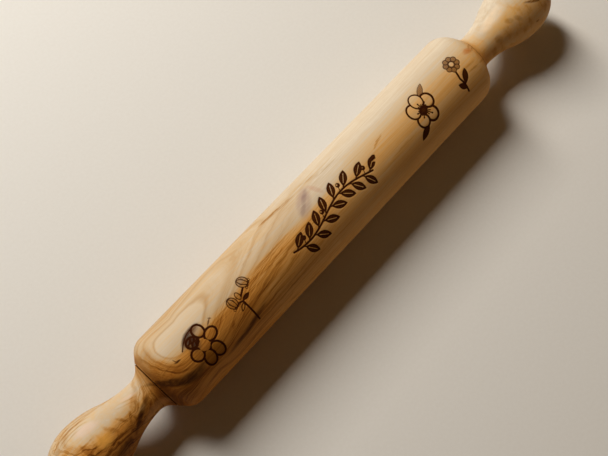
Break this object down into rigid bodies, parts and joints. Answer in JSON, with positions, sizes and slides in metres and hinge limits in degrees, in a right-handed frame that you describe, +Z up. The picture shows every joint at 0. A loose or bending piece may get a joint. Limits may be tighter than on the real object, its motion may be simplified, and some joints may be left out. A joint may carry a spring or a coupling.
{
  "type": "wooden rolling pin",
  "caption": "Turned wooden rolling pin: a straight barrel that revolves on sealed ball bearings round a steel axle, with a bulb-shaped handle clamped to each end.",
  "frame": {"origin": "on the table under the middle of the barrel: the bottom centre of the whole pin at rest", "axes": "+X along the axle towards the right-hand handle, +Z up, +Y away from the user across the pin"},
  "size_m": [0.4136, 0.048, 0.048],
  "materials": {
    "barrel_wood": "oiled satin",
    "handle_wood": "oiled satin",
    "zinc_steel": "zinc plated",
    "bearing_steel": "ground and polished",
    "cage_nylon": "moulded matt",
    "seal_rubber": "matt"
  },
  "bodies": {
    "axle_and_handles": {"axle": "zinc_steel", "left_handle": "handle_wood", "right_handle": "handle_wood", "left_handle_plug": "handle_wood", "right_handle_plug": "handle_wood", "left_axle_nut": "zinc_steel", "right_axle_nut": "zinc_steel", "left_nut_washer": "zinc_steel", "right_nut_washer": "zinc_steel", "left_spacer_washer": "zinc_steel", "right_spacer_washer": "zinc_steel", "left_inner_race": "bearing_steel", "right_inner_race": "bearing_steel"},
    "barrel": {"barrel": "barrel_wood", "left_outer_race": "bearing_steel", "right_outer_race": "bearing_steel", "left_outer_seal": "seal_rubber", "right_outer_seal": "seal_rubber", "left_inner_seal": "seal_rubber", "right_inner_seal": "seal_rubber"},
    "left_ball_cage": {"left_ball_cage": "cage_nylon"},
    "left_ball_1": {"left_ball_1": "bearing_steel"},
    "left_ball_2": {"left_ball_2": "bearing_steel"},
    "left_ball_3": {"left_ball_3": "bearing_steel"},
    "left_ball_4": {"left_ball_4": "bearing_steel"},
    "left_ball_5": {"left_ball_5": "bearing_steel"},
    "left_ball_6": {"left_ball_6": "bearing_steel"},
    "left_ball_7": {"left_ball_7": "bearing_steel"},
    "right_ball_cage": {"right_ball_cage": "cage_nylon"},
    "right_ball_1": {"right_ball_1": "bearing_steel"},
    "right_ball_2": {"right_ball_2": "bearing_steel"},
    "right_ball_3": {"right_ball_3": "bearing_steel"},
    "right_ball_4": {"right_ball_4": "bearing_steel"},
    "right_ball_5": {"right_ball_5": "bearing_steel"},
    "right_ball_6": {"right_ball_6": "bearing_steel"},
    "right_ball_7": {"right_ball_7": "bearing_steel"}
  },
  "joints": [
    {"name": "barrel_spin", "type": "hinge", "parent": "axle_and_handles", "child": "barrel", "pos_m": [0, 0, 0.024], "axis": [1, 0, 0], "continuous": true},
    {"name": "left_cage_spin", "type": "hinge", "parent": "axle_and_handles", "child": "left_ball_cage", "pos_m": [-0.12853, 0, 0.024], "axis": [1, 0, 0], "continuous": true},
    {"name": "right_cage_spin", "type": "hinge", "parent": "axle_and_handles", "child": "right_ball_cage", "pos_m": [0.12853, 0, 0.024], "axis": [1, 0, 0], "continuous": true},
    {"name": "left_ball_1_roll", "type": "hinge", "parent": "left_ball_cage", "child": "left_ball_1", "pos_m": [-0.12853, 0, 0.0315], "axis": [1, 0, 0], "continuous": true},
    {"name": "left_ball_2_roll", "type": "hinge", "parent": "left_ball_cage", "child": "left_ball_2", "pos_m": [-0.12853, -0.00586, 0.02868], "axis": [1, 0, 0], "continuous": true},
    {"name": "left_ball_3_roll", "type": "hinge", "parent": "left_ball_cage", "child": "left_ball_3", "pos_m": [-0.12853, -0.00731, 0.02233], "axis": [1, 0, 0], "continuous": true},
    {"name": "left_ball_4_roll", "type": "hinge", "parent": "left_ball_cage", "child": "left_ball_4", "pos_m": [-0.12853, -0.00325, 0.01724], "axis": [1, 0, 0], "continuous": true},
    {"name": "left_ball_5_roll", "type": "hinge", "parent": "left_ball_cage", "child": "left_ball_5", "pos_m": [-0.12853, 0.00325, 0.01724], "axis": [1, 0, 0], "continuous": true},
    {"name": "left_ball_6_roll", "type": "hinge", "parent": "left_ball_cage", "child": "left_ball_6", "pos_m": [-0.12853, 0.00731, 0.02233], "axis": [1, 0, 0], "continuous": true},
    {"name": "left_ball_7_roll", "type": "hinge", "parent": "left_ball_cage", "child": "left_ball_7", "pos_m": [-0.12853, 0.00586, 0.02868], "axis": [1, 0, 0], "continuous": true},
    {"name": "right_ball_1_roll", "type": "hinge", "parent": "right_ball_cage", "child": "right_ball_1", "pos_m": [0.12853, 0, 0.0315], "axis": [1, 0, 0], "continuous": true},
    {"name": "right_ball_2_roll", "type": "hinge", "parent": "right_ball_cage", "child": "right_ball_2", "pos_m": [0.12853, 0.00586, 0.02868], "axis": [1, 0, 0], "continuous": true},
    {"name": "right_ball_3_roll", "type": "hinge", "parent": "right_ball_cage", "child": "right_ball_3", "pos_m": [0.12853, 0.00731, 0.02233], "axis": [1, 0, 0], "continuous": true},
    {"name": "right_ball_4_roll", "type": "hinge", "parent": "right_ball_cage", "child": "right_ball_4", "pos_m": [0.12853, 0.00325, 0.01724], "axis": [1, 0, 0], "continuous": true},
    {"name": "right_ball_5_roll", "type": "hinge", "parent": "right_ball_cage", "child": "right_ball_5", "pos_m": [0.12853, -0.00325, 0.01724], "axis": [1, 0, 0], "continuous": true},
    {"name": "right_ball_6_roll", "type": "hinge", "parent": "right_ball_cage", "child": "right_ball_6", "pos_m": [0.12853, -0.00731, 0.02233], "axis": [1, 0, 0], "continuous": true},
    {"name": "right_ball_7_roll", "type": "hinge", "parent": "right_ball_cage", "child": "right_ball_7", "pos_m": [0.12853, -0.00586, 0.02868], "axis": [1, 0, 0], "continuous": true}
  ],
  "couplings": [
    {"joint": "left_cage_spin", "follows": "barrel_spin", "ratio": 0.6323},
    {"joint": "right_cage_spin", "follows": "barrel_spin", "ratio": 0.6323},
    {"joint": "left_ball_1_roll", "follows": "barrel_spin", "ratio": 1.757},
    {"joint": "left_ball_2_roll", "follows": "barrel_spin", "ratio": 1.757},
    {"joint": "left_ball_3_roll", "follows": "barrel_spin", "ratio": 1.757},
    {"joint": "left_ball_4_roll", "follows": "barrel_spin", "ratio": 1.757},
    {"joint": "left_ball_5_roll", "follows": "barrel_spin", "ratio": 1.757},
    {"joint": "left_ball_6_roll", "follows": "barrel_spin", "ratio": 1.757},
    {"joint": "left_ball_7_roll", "follows": "barrel_spin", "ratio": 1.757},
    {"joint": "right_ball_1_roll", "follows": "barrel_spin", "ratio": 1.757},
    {"joint": "right_ball_2_roll", "follows": "barrel_spin", "ratio": 1.757},
    {"joint": "right_ball_3_roll", "follows": "barrel_spin", "ratio": 1.757},
    {"joint": "right_ball_4_roll", "follows": "barrel_spin", "ratio": 1.757},
    {"joint": "right_ball_5_roll", "follows": "barrel_spin", "ratio": 1.757},
    {"joint": "right_ball_6_roll", "follows": "barrel_spin", "ratio": 1.757},
    {"joint": "right_ball_7_roll", "follows": "barrel_spin", "ratio": 1.757}
  ]
}
